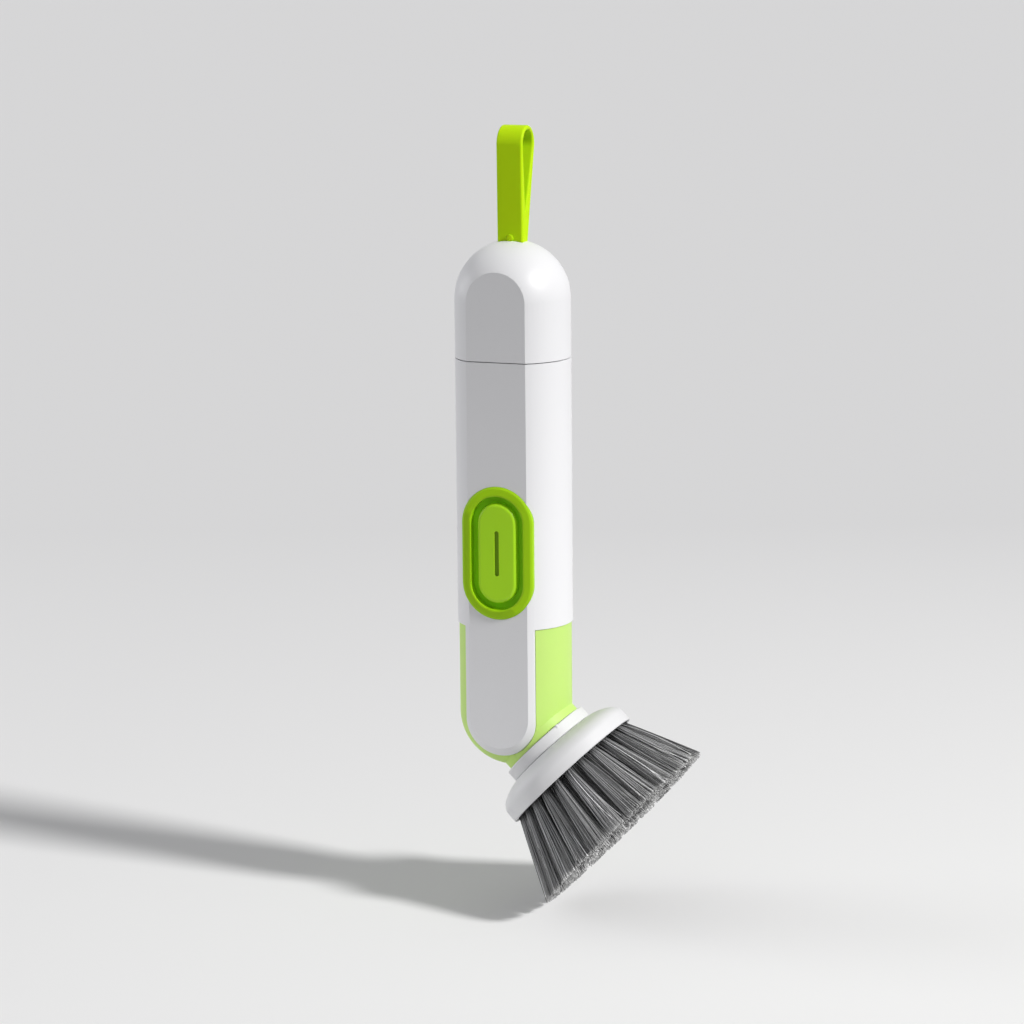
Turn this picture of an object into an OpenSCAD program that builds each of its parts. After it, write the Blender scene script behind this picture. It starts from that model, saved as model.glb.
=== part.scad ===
// Soap dispensing dish wand: a round handle with a flat front that holds the soap,
// a pump button on the flat, and a pull-off brush head tilted to one side.
// Millimetres. +Z runs up the handle, the flat front faces -Y, the head tilts to +X.
// The origin is on the table, under the middle of the whole wand.

/* [Handle] */
// Diameter of the round handle
handle_d = 37; // [35:0.5:39]
// Depth of the flat front below the round side
flat_depth = 2.85; // [2.5:0.05:3.2]
// Radius of the soft edge between the flat and the round sides
crease_r = 2; // [1.5:0.1:2.5]
// Distance between the centres of the top and bottom domes
handle_span = 133.4; // [128:0.2:140]
// Thickness of the handle's outer wall
handle_wall = 2.2; // [1.8:0.1:2.4]
// Height of the white handle's lower edge above the bottom dome's centre
step_h = 29.4; // [28:0.2:30]

/* [Cap] */
// Distance from the top dome's centre down to the cap's parting line
cap_depth = 18.5; // [16:0.5:21]
// Width of the parting line between cap and handle
parting_gap = 0.3; // [0.2:0.05:0.5]
// Outer radius of the filler neck
neck_r = 14.2; // [13.8:0.1:14.4]
// Wall of the filler neck
neck_wall = 1.8; // [1.6:0.1:2]
// Height of the filler neck above the parting line
neck_h = 9.5; // [8:0.5:11]
// Thickness of the sealing rings
seal_d = 1.6; // [1.4:0.1:1.8]
// Radial running clearance of everything that slides on something
slide_clear = 0.06; // [0.04:0.01:0.09]

/* [Strap] */
// Width of the strap
strap_w = 8.2; // [7:0.2:9]
// Thickness of the strap at its crown
strap_t = 1.6; // [1.4:0.1:2]
// Half of the strap's thickness where it enters the cap
strap_base_t = 2.2; // [1.8:0.1:2.5]
// Height of the loop above the top of the dome
strap_h = 35.9; // [30:0.5:42]
// Outer radius of the loop's crown
strap_crown_r = 6.6; // [6:0.1:7.5]
// How far the crown leans towards the back
strap_lean = 3.6; // [2:0.1:4.2]
// Height at which the two legs of the strap meet
strap_join_h = 8.5; // [6:0.5:11]
// Depth of the strap's anchoring foot inside the cap
strap_foot_h = 2.6; // [2:0.2:3]

/* [Button] */
// Height of the button's centre above the bottom dome's centre
button_h = 53.8; // [53:0.2:56]
// Half of the straight part that the bezel, the groove and the pad share
button_straight = 9.5; // [8.5:0.25:10]
// End radius of the bezel
bezel_r = 11.9; // [11.4:0.1:12.2]
// Width of the bezel's face
bezel_face = 3.05; // [2.6:0.05:3.3]
// How far the bezel stands proud of the flat
bezel_proud = 0.9; // [0.5:0.1:1.2]
// Width of the groove between bezel and pad
groove_w = 2.25; // [1.8:0.05:2.6]
// How far the pad stands proud of the flat
pad_proud = 0.8; // [0.4:0.1:1.2]
// Thickness of the pad
pad_t = 2.9; // [2.6:0.1:3.1]
// How far the pad can be pressed
press_travel = 2.4; // [2.2:0.1:2.6]
// Length of the mark sunk into the pad
mark_l = 14.5; // [12:0.5:16]
// Width of the mark
mark_w = 1.4; // [1:0.1:1.8]
// Depth of the mark
mark_depth = 0.5; // [0.3:0.1:0.8]

/* [Pump] */
// Thickness of the rubber membrane
membrane_t = 0.8; // [0.6:0.1:1]
// Depth left inside the pump chamber when the pad is fully pressed
press_room = 2.2; // [2:0.1:2.6]
// Wall of the pump chamber
chamber_wall = 1.4; // [1.2:0.1:1.6]
// Distance of the inlet and the outlet from the button's centre
port_offset = 10.5; // [9.5:0.25:11.5]
// Outer diameter of the delivery tube
tube_d = 4; // [3.8:0.1:4.2]
// Wall of the delivery tube
tube_wall = 0.8; // [0.7:0.05:0.9]
// Mean radius of the return spring
spring_r = 3.2; // [2.9:0.1:3.6]
// Wire diameter of the return spring
wire_d = 0.5; // [0.4:0.05:0.6]

/* [Lower shell] */
// How far the green shell lies inside the white handle's surface
shell_inset = 0.45; // [0.3:0.05:0.6]
// Wall of the green shell
shell_wall = 2; // [1.6:0.1:2.2]
// Half width of the white tongue that runs down over the green shell
tongue_r = 11.7; // [11.3:0.1:12]
// How far the tongue's round end is centred below the dome's centre
tongue_drop = 0.9; // [0:0.1:1.5]
// Gap between the tongue and the green shell
tongue_gap = 0.15; // [0.1:0.05:0.25]

/* [Head] */
// Angle between the handle's axis and the head's axis
head_tilt = 45; // [40:1:50]
// Outer radius of the green neck that carries the head
spout_r = 14.4; // [14:0.1:15]
// How far the neck stands out of the green dome
spout_stand = 2.7; // [2.2:0.1:3.2]
// Radius of the head's collar
collar_r = 15.9; // [15.4:0.1:16.4]
// Thickness of the collar
collar_t = 4; // [3.5:0.1:4.5]
// Radius of the brush plate
plate_r = 24.8; // [24.2:0.1:25.5]
// Height of the brush plate's rim wall
rim_h = 5.3; // [4.8:0.1:5.8]
// Thickness of the rim lip round the bristles
rim_t = 1.2; // [1:0.1:1.3]
// Depth of the bristle face inside the rim
rim_lip = 1.2; // [0.8:0.1:1.5]
// Radius of the rounded back of the brush plate
back_r = 15.9; // [14:0.1:18]
// Slope of the rounded back where it meets the rim wall
back_slope = 43.5; // [40:0.5:46]
// Radius of the spigot that plugs the head into the neck
spigot_r = 8; // [7.5:0.1:8.4]
// Length of that spigot
spigot_l = 6.5; // [6.25:0.25:7]
// Gap between the collar and the green neck
seat_gap = 0.15; // [0.1:0.05:0.3]

/* [Bristles] */
// Height of the bristles below the rim
bristle_h = 24.8; // [20:0.2:28]
// Slant of the trimmed tips, longer on the lower side
tip_slant = 2.2; // [0:0.1:4]
// Radius of a tuft in its hole
tuft_r = 1.45; // [1.3:0.05:1.5]
// Radius of a tuft at its tips
tuft_tip_r = 3.1; // [2.4:0.1:3.2]
// Depth of the tuft holes
tuft_hole_depth = 5; // [4:0.25:5.5]
// Number of tufts in the outer ring
outer_tufts = 26; // [22:1:28]
// Root radius of the outer ring
outer_ring_r = 21.2; // [20.8:0.1:21.3]
// Outward lean of the outer ring
outer_lean = 23; // [20:0.5:24]
// Radial distance between the rings of tufts
ring_pitch = 5.2; // [5:0.1:5.4]
// Decrease of the lean from one ring to the next
lean_step = 6.5; // [5.5:0.25:7.5]

/* [Hidden] */
$fn = 96;
little = 0.01;
// Lets the crease's arc cross the flat and the round sides instead of only touching them
crease_shift = 0.04;
tuft_gap = 0.08;
handle_r = handle_d / 2;
flat_offset = handle_r - flat_depth;
seam_z = handle_span - cap_depth;
body_top = seam_z - parting_gap;
dome_top = handle_span + handle_r;

shell_r = handle_r - shell_inset;
spout_h = sqrt(pow(shell_r, 2) - pow(spout_r, 2)) + spout_stand;

// The brush plate's back is an arc that meets the rim wall at back_slope.
back_centre_r = plate_r - back_r * sin(back_slope);
function back_rise(r) = sqrt(pow(back_r, 2) - pow(r - back_centre_r, 2));
back_drop = back_rise(collar_r) - back_rise(plate_r);
base_top = spout_h + seat_gap;
collar_low = base_top + collar_t;
rim_top = collar_low + back_drop;
plate_bottom = rim_top + rim_h;
face_h = plate_bottom - rim_lip;

// The table stands under the lowest bristle, and the origin under the middle of the wand.
tuft_l = bristle_h + rim_lip;
spare_l = 1.4 * tuft_l;
tip_h = plate_bottom + bristle_h;
// Where the outer side of an outer tuft meets the trimmed tips, for a slant a
edge_lean = outer_lean + atan((tuft_tip_r - tuft_r) / tuft_l);
edge_root = [outer_ring_r + tuft_r * cos(outer_lean), face_h - tuft_r * sin(outer_lean)];
function edge_tip(a) = edge_root + [sin(edge_lean), cos(edge_lean)]
    * (tip_h + edge_root[0] * sin(a) - edge_root[1] * cos(a)) / cos(edge_lean + a);
low_tip = edge_tip(tip_slant);
high_tip = edge_tip(-tip_slant);
lift = low_tip[1] * cos(head_tilt) + low_tip[0] * sin(head_tilt);
reach = high_tip[1] * sin(head_tilt) + high_tip[0] * cos(head_tilt);
shift = (handle_r - reach) / 2;

// The bezel's seat is as deep as the round sides at the bezel's edge.
seat_y = sqrt(pow(handle_r, 2) - pow(bezel_r, 2)) - little;
bezel_y = flat_offset + bezel_proud;
bezel_in_r = bezel_r - bezel_face;
opening_r = bezel_r - 1.5;
pad_r = bezel_in_r - groove_w;
pad_y = flat_offset + pad_proud;
membrane_y = pad_y - pad_t;
chamber_y = membrane_y - membrane_t;
chamber_floor = chamber_y - press_travel - press_room;
chamber_back = chamber_floor - chamber_wall;
chamber_r = opening_r - 0.1;

tube_r = tube_d / 2;
tube_in = tube_r - tube_wall;
tube_bend = chamber_back - 2.8;
tube_swell = 0.15;
nipple_l = 3.2;
nipple_r = tube_in + tube_swell - 0.02;
tube_low_bend = 8;
socket_nipple_l = 1.2;
outlet_z = button_h - port_offset;

shell_in_r = shell_r - shell_wall;
tongue_back = flat_offset - handle_wall;
shell_front = tongue_back - tongue_gap - shell_wall;
floor_t = 2.4;
snap_l = 5;
snap_fit = 0.05;
// Turns that keep the seams of the round surfaces away from where they cross
seam_turn = 150;
neck_turn = 40;
socket_r = spigot_r + slide_clear;
socket_wall = 2;
socket_seal_h = spout_h - spigot_l * 0.55;
neck_seal_h = body_top + neck_h * 0.6;
socket_end = spout_h - spigot_l - 0.5;
sleeve_r = neck_r + slide_clear;
strap_slot_r = strap_base_t + 0.15;
strap_neck_h = 6;
nub_r = 1.2;
nub_proud = 0.7;
strap_root_h = strap_base_t * (strap_h - strap_crown_r) / (strap_crown_r - strap_base_t);

// Points of a circle's tangent from a point, as an angle about the centre.
function tangent_angle(from, centre, r, side) =
    atan2(from[1] - centre[1], from[0] - centre[0]) + side * acos(r / norm(from - centre));

// Handle coordinates: the bottom dome's centre is at zero.
module on_table() {
    translate([shift, 0, lift]) children();
}

// Head coordinates: +Z runs out along the head's axis and -X is its upper side.
module head_frame() {
    on_table() rotate([0, 180 - head_tilt, 0]) children();
}

// Button coordinates: +Z runs out of the flat and +Y up the handle, with zero on the handle's axis.
module button_frame() {
    on_table() translate([0, 0, button_h]) rotate([90, 0, 0]) children();
}

// Outline of the handle seen along its axis: a circle with a flat and two soft corners.
module handle_outline(inset = 0) {
    r = handle_r - inset;
    flat = flat_offset - inset;
    soft = max(crease_r - inset, 0.5);
    inner = [sqrt(pow(r - soft, 2) - pow(flat - soft, 2)), soft - flat];
    lean = inner / (r - soft);
    middle = inner + (lean + [0, -1]) * crease_shift;
    difference() {
        circle(r = r);
        translate([-r, -2 * r]) square([2 * r, 2 * r - flat]);
        for (s = [0, 1])
            mirror([s, 0])
                difference() {
                    polygon([
                        middle, middle - [0, soft + 1], middle + [soft, -soft - 1],
                        middle + lean * (soft + 1)
                    ]);
                    translate(middle) circle(r = soft);
                }
    }
}

// Half of a dome with the flat cut into it: the outline turned about the flat's own normal.
module handle_dome(inset = 0, up = true) {
    rotate([-90, 0, 0]) rotate([0, 0, up ? 180 : 0])
        rotate_extrude(angle = 180)
            intersection() {
                handle_outline(inset);
                translate([0, -handle_d]) square([handle_d, 2 * handle_d]);
            }
}

// Stadium outline, with its straight part along Y.
module stadium(r, straight = button_straight) {
    for (s = [-1, 1]) translate([0, s * straight]) circle(r = r);
    translate([-r, -straight]) square([2 * r, 2 * straight]);
}

// Sweeps a section round a stadium: its X is the distance from the middle line, its Y the height.
module round_stadium(straight = button_straight) {
    for (s = [0, 1])
        rotate([0, 0, s * 180]) {
            translate([0, straight, 0]) rotate_extrude(angle = 180) children();
            translate([0, straight, 0]) rotate([90, 0, 0])
                linear_extrude(2 * straight) children();
        }
}

// Flat ring for a seal: a torus.
module seal_ring(mid_r) {
    rotate_extrude() translate([mid_r, 0]) circle(d = seal_d, $fn = 32);
}

// The prism that the tongue's outline makes, through the front of the handle.
module tongue_prism(grow = 0, front = 30, back = 0) {
    rotate([90, 0, 0]) translate([0, 0, back]) linear_extrude(front - back) {
        translate([0, -tongue_drop]) circle(r = tongue_r + grow);
        translate([-tongue_r - grow, -tongue_drop])
            square([2 * (tongue_r + grow), step_h + tongue_drop + 1]);
    }
}

// What is cut away below the step, so that only the tongue is left in front of the green shell.
module below_step() {
    difference() {
        translate([-handle_d, -handle_d, -handle_d]) cube([2 * handle_d, 2 * handle_d, handle_d + step_h]);
        tongue_prism(back = tongue_back);
    }
}

// Outline of the room inside the green shell, which is flat behind the tongue.
module shell_room(gap = 0) {
    intersection() {
        circle(r = shell_in_r - gap);
        translate([-handle_d, gap - shell_front]) square(2 * handle_d);
    }
}

module body_shell() {
    color("white") on_table() difference() {
        union() {
            difference() {
                union() {
                    linear_extrude(body_top) handle_outline();
                    handle_dome(up = false);
                }
                below_step();
            }
            // Filler neck
            translate([0, 0, body_top - 1]) cylinder(h = neck_h + 1, r = neck_r);
            // Spigot that the green shell snaps on
            translate([0, 0, step_h - snap_l]) linear_extrude(snap_l + 1) shell_room(snap_fit);
        }
        // Reservoir
        difference() {
            translate([0, 0, step_h + floor_t]) linear_extrude(body_top - 2 - step_h - floor_t)
                handle_outline(handle_wall);
            // Collar that holds the pump chamber
            translate([0, 0, button_h]) rotate([90, 0, 0]) translate([0, 0, chamber_floor])
                linear_extrude(20) stadium(opening_r + 1.6);
        }
        translate([0, 0, body_top - 3]) cylinder(h = neck_h + 5, r = neck_r - neck_wall);
        // Hollow of the lower spigot
        translate([0, 0, step_h - snap_l - 1]) linear_extrude(snap_l + 1) shell_room(2);
        // Hole for the tube's grommet
        translate([0, 0, step_h - 1]) cylinder(h = floor_t + 2, r = tube_r + 1);
        // Groove for the cap's sealing ring
        translate([0, 0, neck_seal_h]) rotate_extrude()
            translate([neck_r - seal_d, -seal_d * 0.6]) square([2 * seal_d, seal_d * 1.2]);
        // Seat of the bezel and the opening for the pump
        translate([0, 0, button_h]) rotate([90, 0, 0]) {
            translate([0, 0, seat_y]) linear_extrude(10) stadium(bezel_r + 0.05);
            translate([0, 0, chamber_floor - 2]) linear_extrude(20) stadium(opening_r);
        }
    }
}

module cap() {
    color("white") on_table() difference() {
        union() {
            translate([0, 0, seam_z]) linear_extrude(cap_depth) handle_outline();
            translate([0, 0, handle_span]) handle_dome();
        }
        // Sleeve round the filler neck
        translate([0, 0, seam_z - 1]) cylinder(h = neck_h + 1.6, r = sleeve_r);
        // Hollow of the dome, with a boss left for the strap's foot
        difference() {
            union() {
                translate([0, 0, seam_z + neck_h + 0.6 - little])
                    linear_extrude(cap_depth - neck_h - 0.6 + little)
                        handle_outline(handle_wall);
                translate([0, 0, handle_span]) handle_dome(handle_wall);
            }
            translate([0, 0, dome_top - 6]) cylinder(h = 6, r = strap_w / 2 + 3);
        }
        translate([-strap_w / 2 - 0.15, -strap_slot_r, dome_top - 8])
            cube([strap_w + 0.3, 2 * strap_slot_r, 10]);
    }
}

module cap_seal() {
    color("dimgray") on_table() translate([0, 0, neck_seal_h])
        seal_ring(neck_r - seal_d / 2 + slide_clear / 2);
}

// The strap's side view: a leaning drop, drawn as a circle and its two tangents from a point.
module strap_drop(centre, r, from) {
    a = tangent_angle(from, centre, r, 1);
    b = tangent_angle(from, centre, r, -1);
    translate(centre) circle(r = r);
    polygon([from, centre + r * [cos(a), sin(a)], centre, centre + r * [cos(b), sin(b)]]);
}

module strap_loop() {
    crown = [strap_lean, strap_h - strap_crown_r];
    color("yellowgreen") on_table() translate([0, 0, dome_top]) {
        rotate([90, 0, 90]) translate([0, 0, -strap_w / 2]) linear_extrude(strap_w)
            difference() {
                union() {
                    strap_drop(crown, strap_crown_r, [0, -strap_root_h]);
                    translate([-strap_base_t, -strap_neck_h])
                        square([2 * strap_base_t, strap_neck_h + strap_join_h / 3]);
                }
                strap_drop(crown, strap_crown_r - strap_t, [0, strap_join_h]);
                translate([-strap_h, -strap_h]) square([strap_h - strap_base_t, strap_h + 1]);
                translate([strap_base_t, -strap_h]) square([strap_h, strap_h + 1]);
                translate([-strap_h, -strap_h - strap_neck_h]) square([2 * strap_h, strap_h]);
            }
        // Foot that holds the strap inside the cap
        translate([-strap_w / 2 - 2, -strap_base_t - 1.5, -strap_neck_h - strap_foot_h])
            cube([strap_w + 4, 2 * strap_base_t + 3, strap_foot_h]);
        // Small half-round nub in front of the strap
        intersection() {
            translate([0, -strap_base_t + 0.2, 0]) rotate([90, 0, 0])
                cylinder(h = nub_proud + 0.2, r = nub_r, $fn = 32);
            translate([-strap_w / 2, -strap_w, 0.05]) cube([strap_w, strap_w, strap_w]);
        }
    }
}

module button_bezel() {
    color("olivedrab") button_frame() {
        round_stadium() difference() {
            translate([bezel_in_r, seat_y]) square([bezel_face, bezel_y - seat_y]);
            // Rounded outer edge and bevelled inner lip
            difference() {
                translate([bezel_r - 0.8, bezel_y - 0.8]) square(1);
                translate([bezel_r - 0.8, bezel_y - 0.8]) circle(r = 0.8, $fn = 32);
            }
            translate([bezel_in_r, bezel_y]) rotate(-45) square([1, 1], center = true);
        }
        // Skirt that clamps the membrane
        round_stadium() translate([bezel_in_r, membrane_y])
            square([opening_r - 0.05 - bezel_in_r, seat_y - membrane_y]);
    }
}

module button_pad() {
    color("yellowgreen") button_frame() difference() {
        round_stadium() difference() {
            translate([0, membrane_y + 0.05]) square([pad_r, pad_t - 0.05]);
            difference() {
                translate([pad_r - 1.2, pad_y - 1.2]) square(2);
                translate([pad_r - 1.2, pad_y - 1.2]) circle(r = 1.2, $fn = 32);
            }
        }
        // Sunk mark
        translate([0, 0, pad_y - mark_depth]) linear_extrude(2)
            stadium(mark_w / 2, mark_l / 2 - mark_w / 2);
    }
}

module pump_membrane() {
    color("olivedrab") button_frame() translate([0, 0, chamber_y])
        linear_extrude(membrane_t) stadium(opening_r - 0.05);
}

// One point of the return spring's wire, at a share t of its length.
function wire_centre(t, low, high, turns) =
    [spring_r * cos(t * turns * 360), spring_r * sin(t * turns * 360), low + (high - low) * t];

module return_spring() {
    turns = 3.5;
    steps = 70;
    sides = 6;
    low = chamber_floor + wire_d / 2 + 0.05;
    high = chamber_y - wire_d / 2 - 0.05;
    points = [
        for (i = [0:steps], k = [0:sides - 1])
            let (
                t = i / steps,
                turn = t * turns * 360,
                c = wire_centre(t, low, high, turns),
                a = k * 360 / sides
            )
            c + wire_d / 2 * [cos(a) * cos(turn), cos(a) * sin(turn), sin(a)]
    ];
    walls = [
        for (i = [0:steps - 1], k = [0:sides - 1])
            let (n = (k + 1) % sides)
            [i * sides + k, i * sides + n, (i + 1) * sides + n, (i + 1) * sides + k]
    ];
    ends = [
        [for (k = [0:sides - 1]) sides - 1 - k],
        [for (k = [0:sides - 1]) steps * sides + k]
    ];
    color("silver") button_frame() polyhedron(points, concat(walls, ends));
}

module pump_chamber() {
    color("whitesmoke") button_frame() difference() {
        union() {
            translate([0, 0, chamber_back]) linear_extrude(chamber_y - chamber_back)
                stadium(chamber_r);
            // Outlet nipple
            translate([0, -port_offset, chamber_back - nipple_l + 0.8])
                cylinder(h = nipple_l - 0.7, r = nipple_r);
        }
        translate([0, 0, chamber_floor]) linear_extrude(20) stadium(chamber_r - chamber_wall);
        // Inlet ports round the flap valve's stem, and the outlet
        translate([0, port_offset, chamber_back - 1]) cylinder(h = 5, r = 0.8);
        for (a = [45:90:315])
            translate([0, port_offset, 0]) rotate(a) translate([1.7, 0, chamber_back - 1])
                cylinder(h = 5, r = 0.5);
        translate([0, -port_offset, chamber_back - 5]) cylinder(h = 8, r = tube_in - 0.5);
    }
}

// Flap valve that lets soap into the chamber.
module inlet_valve() {
    color("gainsboro") button_frame() translate([0, port_offset, 0]) rotate_extrude() {
        translate([0, chamber_floor + 0.02]) square([2.7, 0.5]);
        translate([0, chamber_back - 0.8]) square([0.75, chamber_wall + 1]);
        translate([0, chamber_back - 0.8]) square([1.3, 0.7]);
    }
}

// Round valve disc over the outlet, held by its rim.
module outlet_valve() {
    color("gainsboro") button_frame() translate([0, -port_offset, chamber_floor + 0.02])
        difference() {
            cylinder(h = 0.6, r = 2);
            translate([-0.1, -1, -1]) cube([0.2, 2, 3]);
        }
}

// The tube's route, filled with a radius: backwards out of the chamber, down the axis and
// into the head's axis, with each end widened where it is pushed over its nipple.
module tube_route(r, past = 0) {
    bend_l = tube_low_bend * tan(head_tilt / 2);
    translate([0, -chamber_back + 0.1 - past, outlet_z]) rotate([-90, 0, 0])
        cylinder(h = chamber_back + 0.2 - tube_bend + past, r = r + tube_swell, $fn = 48);
    translate([0, -tube_bend, outlet_z - tube_bend]) rotate([90, 0, 90])
        rotate_extrude(angle = 90) translate([tube_bend, 0]) circle(r = r, $fn = 48);
    translate([0, 0, bend_l]) cylinder(h = outlet_z - tube_bend - bend_l, r = r, $fn = 48);
    translate([tube_low_bend, 0, bend_l]) rotate([90, 0, 0]) rotate([0, 0, 180])
        rotate_extrude(angle = head_tilt) translate([tube_low_bend, 0])
            circle(r = r, $fn = 48);
    rotate([0, 180 - head_tilt, 0]) translate([0, 0, bend_l - 0.3])
        cylinder(h = socket_end - 2.1 - bend_l + 0.3 + past, r = r + tube_swell, $fn = 48);
}

module delivery_tube() {
    color("aliceblue") on_table() difference() {
        tube_route(tube_r);
        tube_route(tube_in, 1);
    }
}

module tube_grommet() {
    color("dimgray") on_table() translate([0, 0, step_h]) rotate_extrude()
        difference() {
            translate([tube_r, -0.9]) square([2.4, floor_t + 1.8]);
            translate([tube_r + 1, 0]) square([3, floor_t]);
        }
}

// Upright tube with a round bottom, turned in one piece.
module round_ended(r, top) {
    rotate_extrude() intersection() {
        union() {
            circle(r = r);
            translate([-r, 0]) square([2 * r, top]);
        }
        translate([0, -r]) square([r, r + top]);
    }
}

module lower_shell() {
    color("lightgreen") difference() {
        union() {
            on_table() rotate(seam_turn) round_ended(shell_r, step_h - parting_gap / 3);
            head_frame() rotate(neck_turn) cylinder(h = spout_h + 1, r = spout_r);
        }
        // Recess that the tongue lies in
        on_table() tongue_prism(tongue_gap, 30, tongue_back - tongue_gap);
        // Hollow behind a front wall
        on_table() intersection() {
            rotate(seam_turn) round_ended(shell_in_r, step_h + 1);
            translate([-20, -shell_front, -20]) cube([40, 40, 70]);
        }
        // Seat of the socket, and the flat end of the neck
        head_frame() rotate(neck_turn) cylinder(h = 2 * spout_h, r = socket_r + socket_wall);
        head_frame() translate([0, 0, spout_h]) cylinder(h = spout_h, r = spout_r + 2);
    }
}

// Insert in the green neck that takes the head's spigot.
module head_socket() {
    color("whitesmoke") head_frame() difference() {
        union() {
            translate([0, 0, socket_end - 2]) cylinder(h = spout_h - socket_end + 2,
                r = socket_r + socket_wall);
            // Nipple for the tube
            translate([0, 0, socket_end - 2 - socket_nipple_l])
                cylinder(h = socket_nipple_l + 1, r = nipple_r);
            translate([0, 0, socket_end - 2]) cylinder(h = 2, r = socket_r + socket_wall);
        }
        translate([0, 0, socket_end]) cylinder(h = 20, r = socket_r);
        translate([0, 0, socket_end - 5]) cylinder(h = 8, r = tube_in - 0.5);
    }
}

module socket_seal() {
    color("dimgray") head_frame() translate([0, 0, socket_seal_h])
        seal_ring(spigot_r - seal_d / 2 + slide_clear / 2);
}

// Brush plate with its collar and spigot, drawn as one turned section.
module base_section() {
    // Spigot
    translate([0, spout_h - spigot_l]) square([spigot_r, spigot_l + 2]);
    // Collar with soft edges
    translate([0, base_top]) square([collar_r - 0.5, collar_t]);
    translate([0, base_top + 0.5]) square([collar_r, collar_t - 1]);
    for (h = [base_top + 0.5, collar_low - 0.5])
        translate([collar_r - 0.5, h]) circle(r = 0.5, $fn = 32);
    // Rounded back
    intersection() {
        translate([back_centre_r, rim_top + back_r * cos(back_slope)]) circle(r = back_r, $fn = 128);
        translate([0, collar_low - 1]) square([plate_r, rim_top - collar_low + 1 + little]);
    }
    // Block that holds the tufts, and the rim round them
    translate([0, collar_low - 1]) square([collar_r - 1, face_h - collar_low + 1]);
    translate([0, rim_top]) square([plate_r, face_h - rim_top]);
    translate([plate_r - rim_t, face_h - 1]) square([rim_t, rim_lip + 1]);
}

module brush_base() {
    color("white") head_frame() difference() {
        union() {
            rotate_extrude() base_section();
            // Index nub on the collar's upper edge
            rotate([0, 0, 225]) translate([collar_r - 0.4, 0, base_top])
                cylinder(h = 1, r = 0.7, $fn = 32);
        }
        // Soap channel and the slit valve's seat
        cylinder(h = 60, r = 2.5);
        translate([0, 0, face_h - 3]) cylinder(h = 10, r = 4.5);
        // Groove for the socket's sealing ring
        translate([0, 0, socket_seal_h]) rotate_extrude()
            translate([spigot_r - seal_d, -seal_d * 0.6]) square([2 * seal_d, seal_d * 1.2]);
        all_rings() tuft_hole();
    }
}

// Soft valve that closes the soap channel until the button is pressed.
module slit_valve() {
    color("gainsboro") head_frame() translate([0, 0, face_h - 3 + little])
        difference() {
            union() {
                cylinder(h = 1.2, r = 4.45);
                translate([0, 0, 1]) cylinder(h = 1.6, r1 = 3.4, r2 = 2.6);
            }
            translate([0, 0, -1]) cylinder(h = 2.8, r = 2);
            for (a = [0, 90]) rotate(a) translate([-1.5, -0.08, -1]) cube([3, 0.16, 6]);
        }
}

// Places the children at each tuft of one ring, with +Z along the tuft and zero on the face.
module tuft_ring(ring) {
    r = outer_ring_r - ring * ring_pitch;
    count = round(outer_tufts * r / outer_ring_r);
    lean = outer_lean - ring * lean_step;
    for (i = [0:count - 1])
        rotate([0, 0, (i + ring / 2) * 360 / count])
            translate([r, 0, face_h]) rotate([0, lean, 0]) children();
}

module all_rings() {
    for (ring = [0:2]) tuft_ring(ring) children();
}

module tuft_hole() {
    translate([0, 0, -tuft_hole_depth]) cylinder(h = tuft_hole_depth + 1, r = tuft_r + tuft_gap,
        $fn = 32);
}

// A tuft: straight in its hole, and flaring to its tips.
module tuft() {
    translate([0, 0, 1.7 - tuft_hole_depth]) cylinder(h = tuft_hole_depth - 1.7 + little,
        r = tuft_r, $fn = 32);
    cylinder(h = spare_l, r1 = tuft_r, r2 = tuft_r + (tuft_tip_r - tuft_r) * spare_l / tuft_l,
        $fn = 32);
}

module trimmed_ring(ring) {
    color("dimgray") head_frame() intersection() {
        tuft_ring(ring) tuft();
        rotate([0, -tip_slant, 0]) cylinder(h = tip_h, r = 2 * plate_r);
    }
}

module tufts_outer() { trimmed_ring(0); }
module tufts_middle() { trimmed_ring(1); }
module tufts_inner() { trimmed_ring(2); }

// Flat wire anchors that hold the tufts in their holes.
module tuft_anchors() {
    color("goldenrod") head_frame() all_rings()
        translate([-1.2, -0.2, 0.1 - tuft_hole_depth]) cube([2.4, 0.4, 1.55]);
}

body_shell();
cap();
cap_seal();
strap_loop();
button_bezel();
button_pad();
pump_membrane();
return_spring();
pump_chamber();
inlet_valve();
outlet_valve();
delivery_tube();
tube_grommet();
lower_shell();
head_socket();
socket_seal();
brush_base();
slit_valve();
tufts_outer();
tufts_middle();
tufts_inner();
tuft_anchors();
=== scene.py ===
"""Looks for a soap dispensing dish wand with a flat-fronted handle and a tilted brush head."""

from __future__ import annotations

import logging
import math
from dataclasses import dataclass
from enum import Enum
from typing import Any

import bpy
import numpy as np
from mathutils import Matrix, Vector

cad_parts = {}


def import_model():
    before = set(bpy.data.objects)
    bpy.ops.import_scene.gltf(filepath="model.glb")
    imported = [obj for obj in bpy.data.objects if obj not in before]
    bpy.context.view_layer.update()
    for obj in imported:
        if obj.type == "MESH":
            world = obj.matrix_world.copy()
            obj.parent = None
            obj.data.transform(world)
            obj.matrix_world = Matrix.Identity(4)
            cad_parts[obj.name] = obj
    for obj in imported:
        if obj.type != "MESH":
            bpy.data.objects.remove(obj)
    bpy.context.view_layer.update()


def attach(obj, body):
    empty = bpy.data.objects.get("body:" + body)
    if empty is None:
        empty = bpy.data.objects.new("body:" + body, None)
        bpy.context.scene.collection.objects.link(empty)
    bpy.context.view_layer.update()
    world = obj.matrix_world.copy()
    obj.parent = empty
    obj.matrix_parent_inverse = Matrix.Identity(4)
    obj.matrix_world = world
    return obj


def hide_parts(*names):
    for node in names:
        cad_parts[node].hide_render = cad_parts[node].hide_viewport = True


LOG = logging.getLogger("dish_wand")
MM = 0.001
Colour = tuple[float, float, float]


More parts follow.
